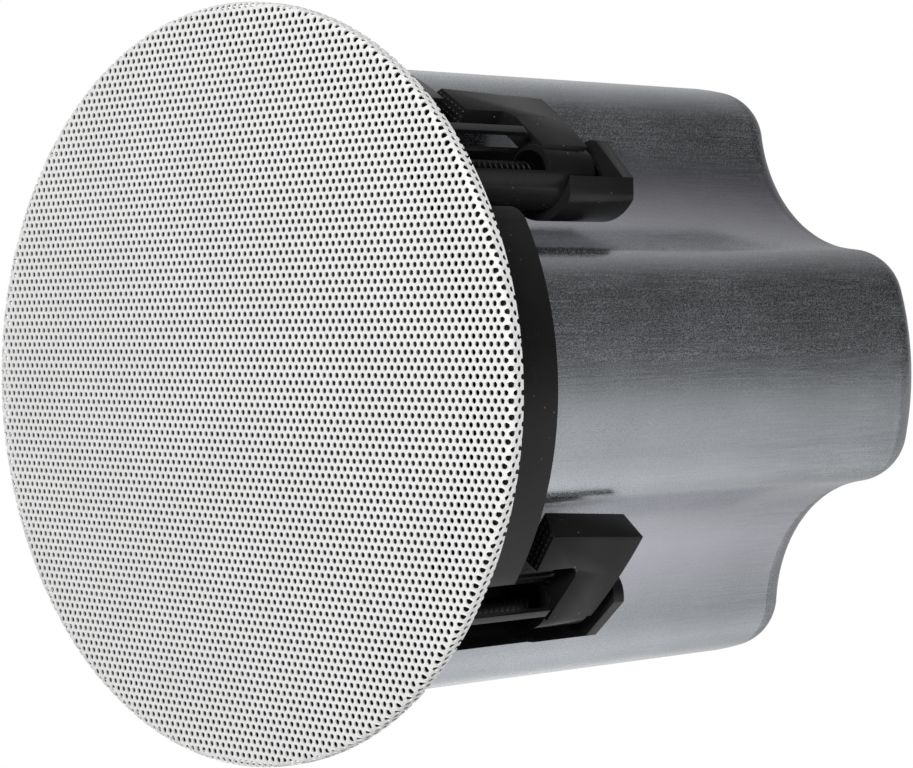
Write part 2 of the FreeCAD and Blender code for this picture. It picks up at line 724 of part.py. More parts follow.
def terminal_cup():
    floor = CAN_REAR_Z - CUP_DEPTH
    body = cyl(CUP_R, floor, CAN_REAR_Z, 0, CUP_Y)
    lip = cyl(CUP_FLANGE_R, CAN_REAR_Z, CAN_REAR_Z + 1.5, 0, CUP_Y)
    hollow = cyl(CUP_R - CUP_WALL, floor + CUP_WALL, CAN_REAR_Z + 5, 0, CUP_Y)
    return body.fuse(lip).removeSplitter().cut(hollow)


def terminal_block():
    z = CAN_REAR_Z - CUP_DEPTH + CUP_WALL
    body = box(-12, 12, CUP_Y - 6, CUP_Y + 6, z, z + 11)
    return body.cut([cyl(1.6, z + 3, z + 12, x, CUP_Y - 2) for x in (-9, -3, 3, 9)])


def safety_eye():
    base = box(EYE_X - 8, EYE_X + 8, -10, 10, CAN_REAR_Z, CAN_REAR_Z + 2)
    tab = box(EYE_X - 1, EYE_X + 1, -8, 8, CAN_REAR_Z + 2, CAN_REAR_Z + 16)
    hole = Part.makeCylinder(EYE_HOLE_R, 10, V(EYE_X - 5, 0, CAN_REAR_Z + 9), V(1, 0, 0))
    return base.fuse(tab).removeSplitter().cut(hole)


def damping_pad():
    z1 = CAN_INNER_REAR_Z
    return box(PAD_X0, PAD_X1, -PAD_HALF_Y, PAD_HALF_Y, z1 - PAD_T, z1)


def tap_switch():
    h = TAP_BODY / 2
    body = box(-h, h, TAP_R - h, TAP_R + h, FLOOR_REAR_Z, FLOOR_REAR_Z + TAP_BODY)
    return body.cut(cyl(SCREW_R + SCREW_GAP, FLOOR_REAR_Z - 1, FLOOR_REAR_Z + 7, 0, TAP_R))


def tap_knob():
    back = FLOOR_FRONT_Z - RUN_GAP
    cap = cyl(KNOB_R, KNOB_FRONT_Z + 1.5, back, 0, TAP_R)
    grip = box(-1.5, 1.5, TAP_R - KNOB_R + 0.5, TAP_R + KNOB_R - 0.5, KNOB_FRONT_Z, KNOB_FRONT_Z + 1.5)
    stem = cyl(SCREW_R, back, FLOOR_REAR_Z + 6, 0, TAP_R)
    return fuse_all([cap, grip, stem])


def write(node, shape):
    if isinstance(shape, list):
        shape = Part.makeCompound(shape)
    shape.exportStep(os.path.join("parts", node + ".step"))


def main():
    os.makedirs("parts", exist_ok=True)
    singles = [
        grille, grille_edge, grille_cloth, grille_magnets, baffle, can_gasket, back_can, can_screws,
        woofer_basket, woofer_gasket, woofer_screws, surround, cone, dust_ring, voice_coil, spider, top_plate,
        woofer_magnet, yoke, tweeter_post, tweeter_housing, tweeter_dome, tweeter_magnet, crossover_board,
        inductor, capacitors, transformer_bracket, transformer_core, transformer_bobbin, terminal_cup,
        terminal_block, safety_eye, damping_pad, tap_switch, tap_knob]
    for make in singles:
        write(make.__name__, make())
    for name, make in (("clamp_wing", wing), ("clamp_screw", clamp_screw), ("clamp_nut", clamp_nut)):
        shape = make()
        for k, angle in enumerate(CLAMP_ANGLES):
            write("%s_%d" % (name, k + 1), turned(shape, angle))


main()
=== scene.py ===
"""Ceiling speaker: perforated grille, swing clamps, satin lobed can and driver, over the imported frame.

Metres, in the frame's own axes: the ceiling seat is at z = 0, the can goes up, the grille looks down.
"""
import json
import math

import bmesh
import bpy
import numpy as np
from bpy.props import FloatProperty, FloatVectorProperty, IntProperty, PointerProperty
from mathutils import Matrix, Vector


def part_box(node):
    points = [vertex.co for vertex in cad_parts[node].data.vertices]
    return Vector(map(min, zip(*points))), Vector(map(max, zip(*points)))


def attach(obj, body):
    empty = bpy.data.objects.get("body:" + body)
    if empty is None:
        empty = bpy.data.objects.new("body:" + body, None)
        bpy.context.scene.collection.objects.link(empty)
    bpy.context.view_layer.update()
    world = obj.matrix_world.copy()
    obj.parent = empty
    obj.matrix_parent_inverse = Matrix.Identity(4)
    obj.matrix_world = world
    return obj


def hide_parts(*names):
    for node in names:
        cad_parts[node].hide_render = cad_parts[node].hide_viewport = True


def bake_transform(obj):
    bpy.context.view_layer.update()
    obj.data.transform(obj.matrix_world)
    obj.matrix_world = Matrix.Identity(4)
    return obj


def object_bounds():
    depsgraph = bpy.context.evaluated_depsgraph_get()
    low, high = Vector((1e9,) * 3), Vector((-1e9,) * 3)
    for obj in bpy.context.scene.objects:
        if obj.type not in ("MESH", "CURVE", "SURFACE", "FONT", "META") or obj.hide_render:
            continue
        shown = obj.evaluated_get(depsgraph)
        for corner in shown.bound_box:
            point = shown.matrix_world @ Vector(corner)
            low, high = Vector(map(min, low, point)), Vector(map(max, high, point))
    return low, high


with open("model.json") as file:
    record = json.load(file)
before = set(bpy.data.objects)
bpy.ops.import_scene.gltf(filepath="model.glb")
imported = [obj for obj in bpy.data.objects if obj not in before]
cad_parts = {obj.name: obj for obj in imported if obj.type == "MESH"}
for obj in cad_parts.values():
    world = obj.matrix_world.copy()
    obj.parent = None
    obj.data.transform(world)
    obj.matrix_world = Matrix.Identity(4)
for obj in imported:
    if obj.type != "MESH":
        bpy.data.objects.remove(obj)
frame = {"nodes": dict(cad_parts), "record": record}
CAD_LOW, CAD_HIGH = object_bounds()

bl_info = {
    "name": "Ceiling Speaker",
    "version": (1, 0, 0),
    "blender": (4, 5, 0),
    "location": "View3D > Sidebar > Speaker",
    "description": "Grille, clamps, can and driver of a ceiling speaker, with their finishes",
    "category": "Object",
}

MM = 0.001
NODES = frame["nodes"]
BODY_OF = {
    node: body
    for body, nodes in frame["record"]["behaviour"]["bodies"].items()
    for node in nodes
}
CLAMPS = sum(name.startswith("clamp_wing_") for name in NODES)

GRILLE_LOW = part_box("grille")[0]
GRILLE_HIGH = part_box("grille_edge")[1]
CLOTH_LOW, CLOTH_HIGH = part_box("grille_cloth")
CAN_LOW, CAN_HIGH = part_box("back_can")
WING_LOW, WING_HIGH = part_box("clamp_wing_1")
SCREW_LOW, SCREW_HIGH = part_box("clamp_screw_1")
SURROUND_LOW, SURROUND_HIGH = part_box("surround")
CONE_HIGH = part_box("cone")[1]
SPIDER_LOW, SPIDER_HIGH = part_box("spider")

# View of the photograph: a long lens below and to the right of the speaker
PHOTO_WIDTH = 913
FOCAL_PIXELS = 3118.79
SENSOR = 36.0
EYE = Vector((0.812056, -0.001649, -0.728127))
VIEW_RIGHT = Vector((0.71523964, 0.03218967, 0.69813758))
VIEW_UP = Vector((0.02068285, -0.99947611, 0.02489425))

# Studio: lamps, floor, and the tent with its levels over one turn about the axis
KEY_PLACE = Vector((1.25, -0.7, -2.0))
KEY_WIDTH = 0.7
GLINT_PLACE = Vector((1.3, -0.7, 0.35))
GLINT_WIDTH = 0.12
FLOOR_REACH = 6.0
FLOOR_WHITE = 0.55
TENT_STRENGTH = 1.2
TENT_TOP = 0.38
TENT_FADE = (0.84, 0.7)
TENT_LEVELS = (
    (0.0, 0.95), (0.06, 0.62), (0.17, 0.53), (0.25, 0.36), (0.34, 0.14), (0.42, 0.08), (0.47, 0.12),
    (0.505, 0.2), (0.54, 0.74), (0.62, 0.82), (0.72, 0.95), (0.82, 0.74), (1.0, 0.95),
)
WHITE = (1.0, 1.0, 1.0, 1.0)
BLACK = (0.0, 0.0, 0.0, 1.0)


# Settings
def length(name, description, default):
    return FloatProperty(name=name, description=description, default=default, unit="LENGTH", precision=5)


def degrees(name, description, default):
    return FloatProperty(
        name=name, description=description, default=math.radians(default), subtype="ANGLE")


def watts(name, description, default):
    return FloatProperty(name=name, description=description, default=default, min=0, unit="POWER")


def tint(name, description, default):
    return FloatVectorProperty(
        name=name, description=description, default=default, size=3, min=0, max=1, subtype="COLOR")


class SpeakerGrilleSettings(bpy.types.PropertyGroup):
    pitch: length("Hole pitch", "Distance between neighbouring holes", 3.0 * MM)
    hole: length("Hole width", "Width of one punched hole", 2.0 * MM)
    thickness: length("Thickness", "Thickness of the sheet", 0.65 * MM)
    crown: length("Crown", "Rise of the middle over the rim", 3.75 * MM)
    bend: length("Bend radius", "Outer radius of the turned edge", 2.0 * MM)
    trim: length("Skirt trim", "Height left off the turned edge's end", 0.6 * MM)
    field: length("Field radius", "Radius where the middle piece meets the rim piece", 100.0 * MM)
    turn: degrees("Row turn", "Turn of the hole rows about the axis", 1.66)
    shift: FloatVectorProperty(
        name="Pattern shift", description="Place of the middle hole from the axis",
        default=(-0.39 * MM, -1.29 * MM), size=2, unit="LENGTH", precision=5)


class SpeakerClampSettings(bpy.types.PropertyGroup):
    edge: length("Edge rounding", "Rounding of the moulded edges", 0.45 * MM)
    lean: degrees("Wing lean", "Turn of a folded wing from the tangent at its screw", -13.0)
    thread_pitch: length("Thread pitch", "Advance of a clamp screw in one turn", 2.75 * MM)
    thread_crest: length("Thread crest", "Radius over the thread", 3.2 * MM)
    stud: length("Stud pitch", "Distance between the grip studs of a pad", 2.1 * MM)
    stud_height: length("Stud height", "Height of a grip stud", 0.3 * MM)
    slant: length("Tip slant", "Drop of a wing's inner rear edge at its tip", 6.3 * MM)
    cage: length("Cage radius", "Radius of the cage at the end of a tower", 17.3 * MM)
    cage_low: length("Cage height", "Height where a tower widens into its cage", 67.5 * MM)
    cage_face: length("Cage face", "Place of the cage's open face beside the screw", 13.3 * MM)
    plate_low: length("Plate height", "Height of the underside of a tower's end plate", 95.0 * MM)
    plate: length("Plate radius", "Radius of the free side of an end plate", 11.6 * MM)
    flat: length("Cage flat", "Distance of the flat on the cage's edge from the screw", 14.4 * MM)
    flat_turn: degrees("Flat turn", "Turn of the cage's flat from the radius at the screw", 43.0)


class SpeakerDriverSettings(bpy.types.PropertyGroup):
    roll: length("Roll thickness", "Thickness of the rubber surround", 0.6 * MM)
    waves: IntProperty(name="Spider waves", description="Ridges of the spider", default=5, min=1, max=12)
    wave_height: length("Wave height", "Height of a spider ridge", 0.42 * MM)


class SpeakerFinishSettings(bpy.types.PropertyGroup):
    grille: tint("Grille", "Powder coat of the grille", (0.86, 0.86, 0.855))
    can: tint("Can", "Drawn sheet of the back can", (0.428, 0.448, 0.474))
    baffle: tint("Baffle", "Moulded baffle and towers", (0.0125, 0.0123, 0.0122))
    clamp: tint("Clamp", "Moulded clamp wings", (0.0115, 0.0112, 0.011))
    scrim: tint("Scrim", "Cloth behind the grille", (0.014, 0.014, 0.0145))
    cone: tint("Cone", "Cone of the woofer", (0.035, 0.036, 0.038))
    rubber: tint("Rubber", "Surround of the woofer", (0.012, 0.012, 0.0125))
    floor: tint("Floor", "Floor of the studio", (0.82, 0.82, 0.81))


class SpeakerStageSettings(bpy.types.PropertyGroup):
    floor_drop: length("Floor drop", "Height of the ceiling seat over the floor", 2.4)
    tent: length("Tent radius", "Radius of the light tent round the can", 2.2)
    ambient: FloatProperty(
        name="Ambient", description="Soft light from all round",
        default=0.28, min=0, max=1, subtype="FACTOR")
    key: watts("Key", "Power of the lamp on the grille", 47.0)
    glint: watts("Glint", "Power of the small lamp on the clamps", 1.2)


class SpeakerSettings(bpy.types.PropertyGroup):
    grille: PointerProperty(type=SpeakerGrilleSettings)
    clamps: PointerProperty(type=SpeakerClampSettings)
    driver: PointerProperty(type=SpeakerDriverSettings)
    finish: PointerProperty(type=SpeakerFinishSettings)
    stage: PointerProperty(type=SpeakerStageSettings)


# Shader maths
class Value:
    """One output of a node. Sums, differences and products of values become Math nodes."""

    def __init__(self, shader, socket):
        self.shader = shader
        self.socket = socket

    def output(self, name):
        return Value(self.shader, self.socket.node.outputs[name])

    def math(self, operation, *terms):
        return self.shader.add("ShaderNodeMath", {"operation": operation}, dict(enumerate(terms)))

    def __add__(self, other):
        return self.math("ADD", self, other)

    def __radd__(self, other):
        return self.math("ADD", other, self)

    def __sub__(self, other):
        return self.math("SUBTRACT", self, other)

    def __rsub__(self, other):
        return self.math("SUBTRACT", other, self)

    def __mul__(self, other):
        return self.math("MULTIPLY", self, other)

    def __rmul__(self, other):
        return self.math("MULTIPLY", other, self)


class Shader:
    """The node tree of a material or world, built from values."""

    def __init__(self, owner):
        owner.use_nodes = True
        self.tree = owner.node_tree
        self.tree.nodes.clear()

    def add(self, kind, settings=None, sockets=None, output=0):
        node = self.tree.nodes.new(kind)
        for name, setting in (settings or {}).items():
            if name == "stops":
                set_stops(node.color_ramp, setting)
            else:
                setattr(node, name, setting)
        for key, value in (sockets or {}).items():
            if isinstance(value, Value):
                self.tree.links.new(value.socket, node.inputs[key])
            else:
                node.inputs[key].default_value = value
        return Value(self, node.outputs[output]) if node.outputs else None

    def place(self, *stretch):
        place = self.add("ShaderNodeTexCoord", output="Object")
        if not stretch:
            return place
        return self.add("ShaderNodeVectorMath", {"operation": "MULTIPLY"}, {0: place, 1: stretch})

    def axis(self, place, name):
        return self.add("ShaderNodeSeparateXYZ", sockets={0: place}, output=name)

    def noise(self, place, scale, detail):
        return self.add(
            "ShaderNodeTexNoise", sockets={"Vector": place, "Scale": scale, "Detail": detail})

    def cells(self, place, scale):
        return self.add("ShaderNodeTexVoronoi", sockets={"Vector": place, "Scale": scale})

    def bands(self, place, scale, direction):
        return self.add(
            "ShaderNodeTexWave", {"bands_direction": direction},
            {"Vector": place, "Scale": scale, "Distortion": 0.4}, output="Fac")

    def step(self, value, low, high):
        return self.add(
            "ShaderNodeMapRange", {"interpolation_type": "SMOOTHSTEP"},
            {"Value": value, "From Min": low, "From Max": high})

    def mix(self, factor, first, second):
        return self.add(
            "ShaderNodeMix", {"data_type": "RGBA"}, {0: factor, 6: first, 7: second}, output=2)

    def bump(self, height, depth, strength):
        return self.add(
            "ShaderNodeBump", sockets={"Height": height, "Distance": depth, "Strength": strength})

    def seen(self):
        """1 on the rays that show a background: the camera's, reflected ones and those through glass."""
        ray = self.add("ShaderNodeLightPath", output="Is Camera Ray")
        rays = ray + ray.output("Is Glossy Ray") + ray.output("Is Transmission Ray")
        return rays.math("MINIMUM", rays, 1.0)

    def glow(self, colour, strength):
        return self.add("ShaderNodeEmission", sockets={"Color": colour, "Strength": strength})

    def show(self, surface):
        self.add("ShaderNodeOutputMaterial", sockets={"Surface": surface})

    def surface(self, sockets):
        self.show(self.add("ShaderNodeBsdfPrincipled", sockets=sockets))


def set_stops(ramp, stops):
    while len(ramp.elements) < len(stops):
        ramp.elements.new(1.0)
    for element, (position, level) in zip(ramp.elements, stops):
        element.position = position
        element.color = (level, level, level, 1.0)


def opaque(colour, gain=1.0):
    return (*(min(1.0, channel * gain) for channel in colour), 1.0)


def new_material(name):
    material = bpy.data.materials.new(name)
    return material, Shader(material)


# Finishes
def powder_coat(colour):
    """Satin powder coat, with painted shade that darkens the hole walls towards the back and the whole
    back of the sheet.
    """
    # painted shade: dark grey laid on the back of the sheet and deep in each hole
    back_shade = (0.06, 0.06, 0.062, 1.0)
    material, shader = new_material("powder_coat")
    place = shader.place()
    depth = shader.add("ShaderNodeAttribute", {"attribute_name": "depth"}, output="Fac")
    # painted shade mask: 0 on the front face, rising to 1 on the back, so each hole wall darkens with
    # depth
    hole_shade = shader.step(depth, 0.6, 1.0)
    peel = shader.noise(place, 1500, 2)
    cloud = shader.step(shader.noise(place, 30, 3), 0.3, 0.7)
    coat = shader.mix(cloud, opaque(colour, 0.965), opaque(colour))
    shader.surface({
        # the coat colour is mixed towards the painted shade on the back and in the holes
        "Base Color": shader.mix(hole_shade * 0.8, coat, back_shade),
        "Roughness": 0.5 + peel * 0.14,
        "Specular IOR Level": 0.3,
        "Normal": shader.bump(peel, 0.04 * MM, 0.5),
    })
    return material


def drawn_sheet(colour):
    """Satin metal with a sparkling grain, hairlines along the can, tinted flutes and pale wear."""
    lobe_radius, flute_radius = 98 * MM, 86 * MM
    wear_start, wear_full = CAN_HIGH.z - 30 * MM, CAN_HIGH.z - 6 * MM
    flute_tint = (colour[0] * 1.03, colour[1] * 0.93, colour[2] * 1.04, 1.0)
    material, shader = new_material("drawn_sheet")
    place = shader.place()
    height = shader.axis(place, "Z")
    lines = shader.noise(shader.place(2000, 2000, 45), 1, 3)
    rings = shader.noise(shader.place(6, 6, 420), 1, 3)
    grain = shader.noise(shader.place(2800, 2800, 1900), 1, 2)
    cloud = shader.noise(place, 26, 5)
    shade = lines * 0.34 + grain * 0.4 + cloud * 0.26
    sheet = shader.mix(shader.step(shade, 0.34, 0.66), opaque(colour, 0.86), opaque(colour, 1.14))
    radius = shader.add(
        "ShaderNodeVectorMath", {"operation": "LENGTH"}, {0: shader.place(1, 1, 0)}, output="Value")
    flute = shader.step(radius, lobe_radius, flute_radius)
    sparkle = shader.step(grain, 0.49, 0.6) * (0.85 + cloud * 0.3) * (1 - flute * 0.8)
    hairline = shader.step(lines, 0.42, 0.62)
    metal = shader.mix(flute * 0.4, sheet, flute_tint)
    rear = shader.step(height, wear_start, wear_full)
    rubbed = rear * shader.step(shader.noise(place, 140, 4), 0.5, 0.66)
    worn = shader.mix(rubbed * 0.35, metal, opaque(colour, 1.5))
    specks = shader.cells(place, 170)
    mark = shader.step(specks, 0.09, 0.04) * shader.step(cloud, 0.52, 0.6)
    shader.surface({
        "Base Color": shader.mix(mark * 0.5, worn, opaque(colour, 0.4)),
        "Metallic": 1.0,
        "Roughness": 0.15 + sparkle * 0.29 + hairline * 0.08 + cloud * 0.06 + rubbed * 0.1,
        "Normal": shader.bump(lines * 0.3 + rings * 0.12 + grain * 0.58, 0.05 * MM, 0.5),
    })
    return material


def moulded(name, colour, roughness, dust, shine=0.25):
    """Black moulding with a fine spark texture, faint flow clouds and specks of dust."""
    dust_colour = (0.4, 0.39, 0.38, 1.0)
    material, shader = new_material(name)
    place = shader.place()
    spark = shader.noise(place, 2600, 2)
    cloud = shader.noise(place, 60, 3)
    specks = shader.cells(place, 330)
    dusty = shader.step(specks, 0.12, 0.05) * shader.step(shader.noise(place, 90, 2), 0.5, 0.62)
    base = shader.mix(cloud, opaque(colour, 0.75), opaque(colour, 1.3))
    shader.surface({
        "Base Color": shader.mix(dusty * dust, base, dust_colour),
        "Roughness": roughness - 0.06 + spark * 0.08 + cloud * 0.05 + dusty * 0.2,
        "Specular IOR Level": shine,
        "Normal": shader.bump(spark, 0.02 * MM, 0.4),
    })
    return material


def plain(name, colour, roughness, metallic=0.0, scale=900, depth=0.02 * MM):
    """A grained finish for small parts: two tones and a fine surface."""
    material, shader = new_material(name)
    place = shader.place()
    grain = shader.noise(place, scale, 3)
    cloud = shader.noise(place, scale / 14, 2)
    shader.surface({
        "Base Color": shader.mix(grain * 0.5 + cloud * 0.5, opaque(colour, 0.8), opaque(colour, 1.2)),
        "Metallic": metallic,
        "Roughness": roughness - 0.08 + cloud * 0.16,
        "Normal": shader.bump(grain, depth, 0.5),
    })
    return material


def band_scale(width):
    """Scale at which a wave texture has one band in this width."""
    return math.pi / (10 * width)


def woven(name, colour, thread, roughness=0.9):
    """Plain weave of warp and weft threads."""
    material, shader = new_material(name)
    place = shader.place()
    warp = shader.bands(place, band_scale(thread), "X")
    weft = shader.bands(place, band_scale(thread), "Y")
    weave = warp * weft
    shader.surface({
        "Base Color": shader.mix(weave, opaque(colour, 0.5), opaque(colour, 1.5)),
        "Roughness": roughness - weave * 0.1,
        "Normal": shader.bump(weave, thread / 4, 0.6),
    })
    return material


def pressed_pulp(colour):
    """Pressed paper with long fibres in it."""
    material, shader = new_material("pressed_pulp")
    place = shader.place()
    fibre = shader.noise(shader.place(500, 150, 300), 1, 5)
    fleck = shader.noise(place, 900, 4)
    shade = fibre * 0.6 + fleck * 0.4
    shader.surface({
        "Base Color": shader.mix(shader.step(shade, 0.3, 0.7), opaque(colour, 0.6), opaque(colour, 1.6)),
        "Roughness": 0.62 + fleck * 0.2,
        "Normal": shader.bump(shade, 0.15 * MM, 0.5),
    })
    return material


def wound_wire(name, colour, wire):
    """Enamelled wire laid turn beside turn."""
    material, shader = new_material(name)
    place = shader.place()
    turns = shader.bands(place, band_scale(wire), "Z")
    cloud = shader.noise(place, 200, 3)
    shader.surface({
        "Base Color": shader.mix(turns * 0.6 + cloud * 0.4, opaque(colour, 0.45), opaque(colour, 1.15)),
        "Metallic": 0.85,
        "Roughness": 0.3 + cloud * 0.15,
        "Normal": shader.bump(turns, wire / 3, 0.8),
    })
    return material


# Meshes
def new_object(name, data):
    thing = bpy.data.objects.new(name, data)
    bpy.context.scene.collection.objects.link(thing)
    return thing


def dressed(name, mesh, material):
    """A new object with this mesh, in its finish."""
    mesh.materials.clear()
    mesh.materials.append(material)
    return new_object(name, mesh)


def body_piece(name, mesh, body, slot, material, *replaced):
    """A dressed object riding on a body, in place of the replaced nodes."""
    piece = dressed(name, mesh, material)
    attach(piece, body)
    if replaced:
        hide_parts(*replaced)
    return piece


def shaded(mesh, sharp):
    """The mesh, shaded smooth over edges that turn by less than this many degrees."""
    mesh.shade_smooth()
    mesh.set_sharp_from_angle(angle=math.radians(sharp))
    return mesh


def mesh_of(name, points, faces, sharp):
    mesh = bpy.data.meshes.new(name)
    mesh.from_pydata(np.asarray(points).tolist(), [], faces)
    return shaded(mesh, sharp)


def mesh_from(name, shape):
    """The mesh of a working shape, which is freed."""
    mesh = bpy.data.meshes.new(name)
    shape.to_mesh(mesh)
    shape.free()
    return mesh


def ring_faces(here, there, count):
    """Quads between two closed rings of points, which start at these places in the list of points."""
    after = [(k + 1) % count for k in range(count)]
    return [(here + k, there + k, there + after[k], here + after[k]) for k in range(count)]


def lathe(name, outline):
    """A closed ring turned from (radius, height) points, clockwise seen with the axis on the left."""
    turns = 144
    radius, height = np.array(outline).T
    angle = np.linspace(0, math.tau, turns, endpoint=False)[:, None]
    points = np.stack(
        [radius * np.cos(angle), radius * np.sin(angle), height + 0 * angle], axis=-1).reshape(-1, 3)
    count = len(outline)
    faces = []
    for turn in range(turns):
        faces += ring_faces(turn * count, (turn + 1) % turns * count, count)
    return mesh_of(name, points, faces, 40)


def softened(name, node, edge, reshape):
    """The node's own shape, its points moved as reshape says and its moulded edges rounded."""
    weld = 0.001 * MM
    flat = math.radians(0.5)
    corner = math.radians(35)
    shape = bmesh.new()
    shape.from_mesh(NODES[node].data)
    bmesh.ops.remove_doubles(shape, verts=shape.verts, dist=weld)
    bmesh.ops.dissolve_limit(shape, angle_limit=flat, verts=shape.verts, edges=shape.edges)
    for vertex in shape.verts:
        vertex.co = reshape(vertex.co)
    bmesh.ops.remove_doubles(shape, verts=shape.verts, dist=weld)
    sharp = [e for e in shape.edges if len(e.link_faces) == 2 and e.calc_face_angle() > corner]
    bmesh.ops.bevel(
        shape, geom=sharp, offset=edge, segments=2, profile=0.5, affect="EDGES", clamp_overlap=True)
    mesh = mesh_from(name, shape)
    for attribute in ("custom_normal", "sharp_edge", "sharp_face"):
        if attribute in mesh.attributes:
            mesh.attributes.remove(mesh.attributes[attribute])
    return shaded(mesh, 50)


def dress(material, *nodes):
    """Puts a finish on nodes whose shape is kept."""
    for node in nodes:
        for slot in NODES[node].material_slots:
            slot.material = material


# Grille sheet
def sheet_section(settings):
    """The sheet's section, by run from the middle and depth under the front face, and its whole run."""
    outer = GRILLE_HIGH.x
    ball = (outer ** 2 + settings.crown ** 2) / (2 * settings.crown)
    ball_z = GRILLE_LOW.z + ball
    flat = outer - settings.bend
    bend_run = ball * math.asin(flat / ball)
    bend_z = ball_z - math.sqrt(ball ** 2 - flat ** 2) + settings.bend
    inner_bend = settings.bend - settings.thickness
    skirt_run = bend_run + inner_bend * math.pi / 2
    reach = skirt_run + GRILLE_HIGH.z - settings.trim - bend_z

    def section(run, depth):
        crown_turn = run / ball
        bend_turn = (run - bend_run) / inner_bend
        parts = (run < bend_run, run < skirt_run)
        radius = np.select(parts, (
            (ball - depth) * np.sin(crown_turn),
            flat + (settings.bend - depth) * np.sin(bend_turn),
        ), outer - depth)
        height = np.select(parts, (
            ball_z - (ball - depth) * np.cos(crown_turn),
            bend_z - (settings.bend - depth) * np.cos(bend_turn),
        ), bend_z + run - skirt_run)
        return radius, height

    return section, reach


def cell_ring(corner_turns, rim_turns):
    """Triangles between a cell's corners and its hole, as places in a list of corners, then rim points."""
    corners, rims = len(corner_turns), len(rim_turns)
    triangles = []
    i = j = 0
    while i < corners or j < rims:
        next_corner = corner_turns[i + 1] if i + 1 < corners else corner_turns[0] + math.tau
        next_rim = rim_turns[j + 1] if j + 1 < rims else rim_turns[0] + math.tau
        if j == rims or (i < corners and next_corner < next_rim):
            triangles.append((i % corners, (i + 1) % corners, corners + j % rims))
            i += 1
        else:
            triangles.append((i % corners, corners + (j + 1) % rims, corners + j % rims))
            j += 1
    return np.array(triangles)


def polygon(sides, radius):
    """Turns and points of a regular polygon's corners, with the middle of a side at turn zero."""
    turns = math.pi / sides + np.arange(sides) * math.tau / sides
    return turns, radius * np.stack([np.cos(turns), np.sin(turns)], axis=1)


def punched_blank(settings, reach):
    """Flat blank: its points, its triangles and the run of each triangle's hole from the middle."""
    cell_sides = 6
    hole_sides = 8
    weld = settings.pitch / 1000
    row = settings.pitch * math.sqrt(3) / 2
    count = int(reach / row) + 3
    j, i = np.mgrid[-count:count + 1, -count:count + 1]
    x = settings.pitch * (i + 0.5 * (j % 2)) + settings.shift[0]
    y = row * j + settings.shift[1]
    centres = np.stack([x.ravel(), y.ravel()], axis=1)
    corner = settings.pitch / math.sqrt(3)
    centres = centres[np.hypot(*centres.T) < reach + corner]
    corner_turns, cell = polygon(cell_sides, corner)
    rim_turns, hole = polygon(hole_sides, settings.hole / 2)
    corners = (centres[:, None] + cell).reshape(-1, 2)
    rims = (centres[:, None] + hole).reshape(-1, 2)
    keys = np.round(corners / weld).astype(int)
    first, shared = np.unique(keys, axis=0, return_index=True, return_inverse=True)[1:]
    points = np.vstack([corners[first], rims])
    rim_ids = len(first) + np.arange(len(rims)).reshape(-1, hole_sides)
    ids = np.hstack([shared.reshape(-1, cell_sides), rim_ids])
    ring = cell_ring(corner_turns, rim_turns)
    triangles = ids[:, ring].reshape(-1, 3)
    runs = np.repeat(np.hypot(*centres.T), len(ring))
    turn = np.array([
        [math.cos(settings.turn), -math.sin(settings.turn)],
        [math.sin(settings.turn), math.cos(settings.turn)]])
    points = points @ turn.T
    run = np.hypot(*points.T)
    cut = run > reach
    points[cut] *= (reach / run[cut])[:, None]
    kept = ~cut[triangles].all(axis=1)
    return points, triangles[kept], runs[kept]


def punched_pieces(settings):
    """Points, faces and depths of the punched sheet: its middle field, then the rim and turned edge."""
    section, reach = sheet_section(settings)
    blank, triangles, runs = punched_blank(settings, reach)
    run = np.hypot(*blank.T)
    across = blank / np.maximum(run, 1e-9)[:, None]
    layers = []
    for depth in (0.0, settings.thickness):
        radius, height = section(run, depth)
        layers.append(np.column_stack([across * radius[:, None], height]))
    points = np.vstack(layers)
    count = len(blank)
    start = triangles.ravel()
    end = np.roll(triangles, -1, axis=1).ravel()
    edge = ~np.isin(start * count + end, end * count + start)
    walls = np.stack([start, end, end + count, start + count], axis=1)[edge]
    wall_runs = np.repeat(runs, 3)[edge]
    for inside in (True, False):
        tops = triangles[(runs < settings.field) == inside]
        sides = walls[(wall_runs < settings.field) == inside]
        used, places = np.unique(
            np.concatenate([tops.ravel(), tops.ravel() + count, sides.ravel()]), return_inverse=True)
        places = places.ravel()
        size = tops.size
        front = places[:size].reshape(-1, 3)[:, ::-1]
        back = places[size:2 * size].reshape(-1, 3)
        wall = places[2 * size:].reshape(-1, 4)
        yield points[used], front.tolist() + back.tolist() + wall.tolist(), used >= count


def scrim_mesh(settings):
    """A round cloth that follows the crown just behind the sheet."""
    rings = 28
    spokes = 120
    section = sheet_section(settings)[0]
    depth = CLOTH_LOW.z - GRILLE_LOW.z + 0.15 * MM
    runs = np.linspace(0, CLOTH_HIGH.x, rings + 1)[1:]
    angle = np.linspace(0, math.tau, spokes, endpoint=False)
    points = [(0, 0, float(section(np.zeros(1), depth)[1][0]))]
    for r, z in zip(*section(runs, depth)):
        points += [(r * math.cos(a), r * math.sin(a), z) for a in angle]
    faces = [(0, 1 + (k + 1) % spokes, 1 + k) for k in range(spokes)]
    for ring in range(rings - 1):
        faces += ring_faces(1 + (ring + 1) * spokes, 1 + ring * spokes, spokes)
    return mesh_of("scrim", points, faces, 60)


# Clamps
def screw_centre(k):
    low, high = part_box(f"clamp_screw_{k}")
    return (low + high) / 2


